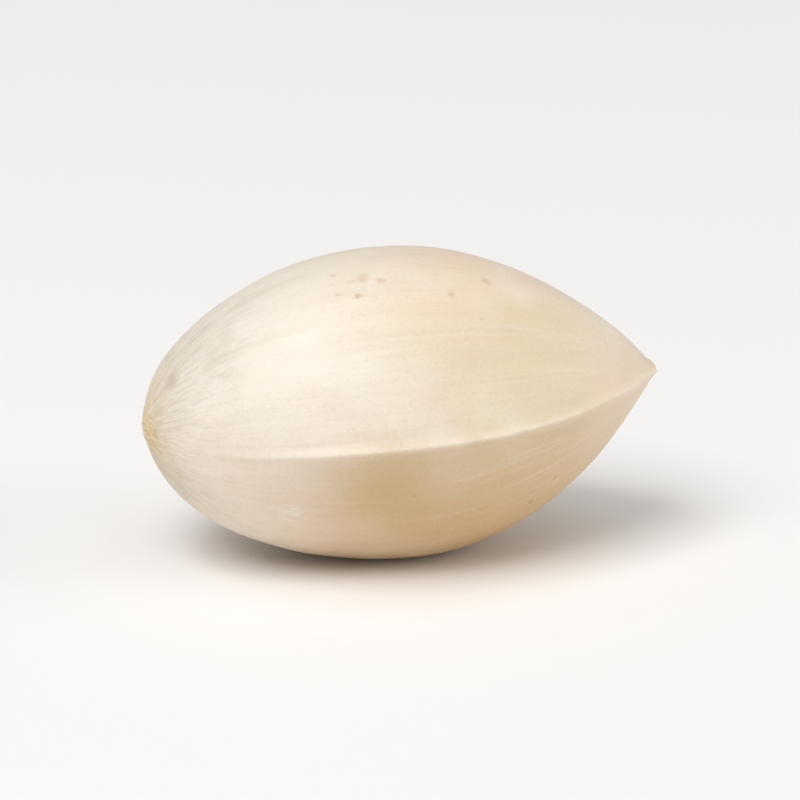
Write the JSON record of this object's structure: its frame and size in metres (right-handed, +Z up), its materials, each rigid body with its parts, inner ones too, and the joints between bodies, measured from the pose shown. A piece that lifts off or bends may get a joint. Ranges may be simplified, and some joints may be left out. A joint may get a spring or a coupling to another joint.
{
  "type": "ginkgo nut",
  "caption": "Ginkgo nut in its smooth cream shell, lying on its side: a keeled oval with a round base and a pointed tip.",
  "frame": {"origin": "middle of the nut's footprint, at the height of the small flat spot that it rests on", "axes": "+X runs lengthwise from the round base towards the pointed tip, which is raised by 4 degrees, +Y lies across the nut from keel to keel, +Z is up, through the lower and then the upper valve"},
  "size_m": [0.026, 0.017, 0.0155],
  "materials": {
    "shell": "smooth thin woody shell, cream, satin, with faint lengthwise fibres, a pale keel line and a few tan freckles"
  },
  "bodies": {
    "root": {"nut": "shell"}
  },
  "joints": []
}
